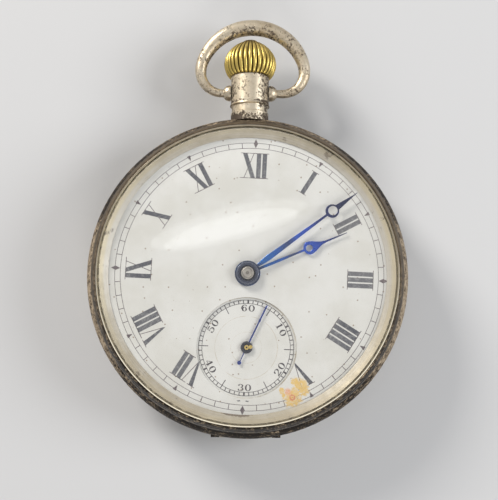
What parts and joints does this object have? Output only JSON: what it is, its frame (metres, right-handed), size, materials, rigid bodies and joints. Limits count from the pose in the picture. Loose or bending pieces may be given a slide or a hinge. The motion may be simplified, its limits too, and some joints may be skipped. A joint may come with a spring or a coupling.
{
  "type": "open-face pocket watch",
  "caption": "Stem-wound pocket watch with a double-cover case, domed crystal, enamel dial with subsidiary seconds, bow, fluted crown and full lever movement.",
  "frame": {"origin": "centre of the back cover's flat", "axes": "+Z out of the dial, +Y along the winding stem towards the crown and bow at 12 o'clock, +X towards 3 o'clock"},
  "size_m": [0.05, 0.0666, 0.0136],
  "materials": {
    "case_silver": "worn silver with a soft polish",
    "bezel_silver": "turned and polished",
    "crystal": "clear domed glass",
    "gilt": "gilded and polished",
    "enamel": "off-white fired enamel",
    "blued_steel": "heat-blued and polished",
    "steel": "polished steel",
    "nickel": "frosted nickel silver",
    "brass": "polished brass",
    "ruby": "polished jewel"
  },
  "bodies": {
    "case": {"case_middle": "case_silver", "pendant": "case_silver", "main_plate": "nickel", "barrel_bridge": "nickel", "train_bridge": "nickel", "balance_cock": "nickel", "pallet_cock": "nickel", "dial": "enamel", "seconds_dial": "enamel", "case_screws": "steel", "bridge_screws": "steel", "plate_jewels": "ruby", "bridge_jewels": "ruby", "hinge_pin": "steel", "hairspring_stud": "steel", "click_spring": "steel", "crown_wheel_core": "steel"},
    "bow": {"bow": "case_silver"},
    "bezel": {"bezel": "bezel_silver", "crystal": "crystal"},
    "back": {"back_cover": "case_silver"},
    "inner": {"inner_cover": "case_silver"},
    "winding_pinion": {"winding_pinion": "steel"},
    "stem": {"crown": "gilt", "winding_stem": "steel"},
    "clutch": {"clutch_wheel": "steel"},
    "setting_lever": {"setting_lever": "steel"},
    "yoke": {"yoke": "steel"},
    "crown_wheel": {"crown_wheel": "steel"},
    "ratchet": {"ratchet_wheel": "steel", "barrel_arbor": "steel", "ratchet_screw": "steel"},
    "click": {"click": "steel"},
    "regulator": {"regulator": "steel"},
    "barrel": {"barrel_drum": "brass", "barrel_cover": "brass", "mainspring": "steel"},
    "centre": {"centre_wheel": "brass", "centre_arbor": "steel"},
    "third": {"third_wheel": "brass", "third_pinion": "steel"},
    "fourth": {"fourth_wheel": "brass", "fourth_pinion": "steel", "seconds_hand": "blued_steel"},
    "escape": {"escape_wheel": "steel", "escape_pinion": "steel"},
    "lever": {"pallet_fork": "steel", "pallet_stones": "ruby"},
    "balance": {"balance_wheel": "brass", "balance_screws": "brass", "balance_staff": "steel", "roller": "steel", "hairspring": "blued_steel"},
    "cannon": {"cannon_pinion": "steel", "minute_hand": "blued_steel"},
    "minute_wheel": {"minute_wheel": "brass"},
    "hour": {"hour_wheel": "brass", "hour_hand": "blued_steel"},
    "setting_wheel": {"setting_wheel": "steel"}
  },
  "joints": [
    {"name": "bow_swing", "type": "hinge", "parent": "case", "child": "bow", "pos_m": [0, 0.02935, 0.0064], "axis": [1, 0, 0], "range_deg": [-100, 100]},
    {"name": "bezel_lift", "type": "slide", "parent": "case", "child": "bezel", "axis": [0, 0, 1], "range_m": [0, 0.015]},
    {"name": "back_open", "type": "hinge", "parent": "case", "child": "back", "pos_m": [0, -0.0243, 0.0041], "axis": [-1, 0, 0], "range_deg": [0, 100]},
    {"name": "inner_open", "type": "hinge", "parent": "case", "child": "inner", "pos_m": [0, -0.0243, 0.0041], "axis": [-1, 0, 0], "range_deg": [0, 86]},
    {"name": "crown_spin", "type": "hinge", "parent": "case", "child": "winding_pinion", "pos_m": [0, 0.017, 0.0064], "axis": [0, 1, 0], "continuous": true},
    {"name": "crown_pull", "type": "slide", "parent": "winding_pinion", "child": "stem", "axis": [0, 1, 0], "range_m": [0, 0.0006]},
    {"name": "clutch_slide", "type": "slide", "parent": "winding_pinion", "child": "clutch", "axis": [0, -1, 0], "range_m": [0, 0.00061]},
    {"name": "setting_lever_turn", "type": "hinge", "parent": "case", "child": "setting_lever", "pos_m": [0.0036, 0.0191, 0.0082], "axis": [0, 0, -1], "range_deg": [0, 9.55]},
    {"name": "yoke_turn", "type": "hinge", "parent": "case", "child": "yoke", "pos_m": [-0.004, 0.01477, 0.0082], "axis": [0, 0, -1], "range_deg": [0, 8.6]},
    {"name": "crown_wheel_spin", "type": "hinge", "parent": "case", "child": "crown_wheel", "pos_m": [0, 0.0126, 0.0041], "axis": [0, 0, 1], "continuous": true},
    {"name": "ratchet_spin", "type": "hinge", "parent": "case", "child": "ratchet", "pos_m": [0.00521, 0.0062, 0.0041], "axis": [0, 0, 1], "continuous": true},
    {"name": "click_lift", "type": "hinge", "parent": "case", "child": "click", "pos_m": [0.01045, 0.00253, 0.0041], "axis": [0, 0, -1], "range_deg": [0, 6]},
    {"name": "regulator_turn", "type": "hinge", "parent": "case", "child": "regulator", "pos_m": [-0.0106, -0.0026, 0], "axis": [0, 0, 1], "range_deg": [-20, 20]},
    {"name": "seconds_run", "type": "hinge", "parent": "case", "child": "fourth", "pos_m": [0, -0.01122, 0.0064], "axis": [0, 0, -1], "continuous": true},
    {"name": "third_run", "type": "hinge", "parent": "case", "child": "third", "pos_m": [0.00257, -0.00624, 0.0064], "axis": [0, 0, -1], "continuous": true},
    {"name": "centre_run", "type": "hinge", "parent": "case", "child": "centre", "pos_m": [0, 0, 0.0064], "axis": [0, 0, -1], "continuous": true},
    {"name": "barrel_run", "type": "hinge", "parent": "case", "child": "barrel", "pos_m": [0.00521, 0.0062, 0.0064], "axis": [0, 0, -1], "continuous": true},
    {"name": "escape_run", "type": "hinge", "parent": "case", "child": "escape", "pos_m": [-0.00491, -0.00983, 0.0064], "axis": [0, 0, -1], "continuous": true},
    {"name": "lever_rock", "type": "hinge", "parent": "case", "child": "lever", "pos_m": [-0.00726, -0.00683, 0.0064], "axis": [0, 0, 1], "range_deg": [-5, 5]},
    {"name": "balance_swing", "type": "hinge", "parent": "case", "child": "balance", "pos_m": [-0.0106, -0.0026, 0], "axis": [0, 0, 1], "range_deg": [-270, 270], "stiffness_Nm_per_rad": 0.000003},
    {"name": "hand_setting", "type": "hinge", "parent": "case", "child": "cannon", "pos_m": [0, 0, 0.01], "axis": [0, 0, -1], "continuous": true},
    {"name": "minute_wheel_run", "type": "hinge", "parent": "case", "child": "minute_wheel", "pos_m": [0, 0.0046, 0.0085], "axis": [0, 0, -1], "continuous": true},
    {"name": "hour_run", "type": "hinge", "parent": "case", "child": "hour", "pos_m": [0, 0, 0.01], "axis": [0, 0, -1], "continuous": true},
    {"name": "setting_wheel_run", "type": "hinge", "parent": "case", "child": "setting_wheel", "pos_m": [0, 0.01054, 0.0085], "axis": [0, 0, -1], "continuous": true}
  ],
  "couplings": [
    {"joint": "inner_open", "follows": "back_open", "ratio": 0.85},
    {"joint": "clutch_slide", "follows": "crown_pull", "ratio": 1},
    {"joint": "setting_lever_turn", "follows": "crown_pull", "rad_per_m": 276.6},
    {"joint": "yoke_turn", "follows": "crown_pull", "rad_per_m": 249.1},
    {"joint": "crown_wheel_spin", "follows": "crown_spin", "ratio": 0.64286},
    {"joint": "ratchet_spin", "follows": "crown_spin", "ratio": -0.5625},
    {"joint": "third_run", "follows": "seconds_run", "ratio": -0.13333},
    {"joint": "centre_run", "follows": "seconds_run", "ratio": 0.016667},
    {"joint": "barrel_run", "follows": "seconds_run", "ratio": -0.0023148},
    {"joint": "escape_run", "follows": "seconds_run", "ratio": -10},
    {"joint": "minute_wheel_run", "follows": "hand_setting", "ratio": -0.33333},
    {"joint": "hour_run", "follows": "hand_setting", "ratio": 0.083333},
    {"joint": "setting_wheel_run", "follows": "hand_setting", "ratio": 0.46154}
  ]
}
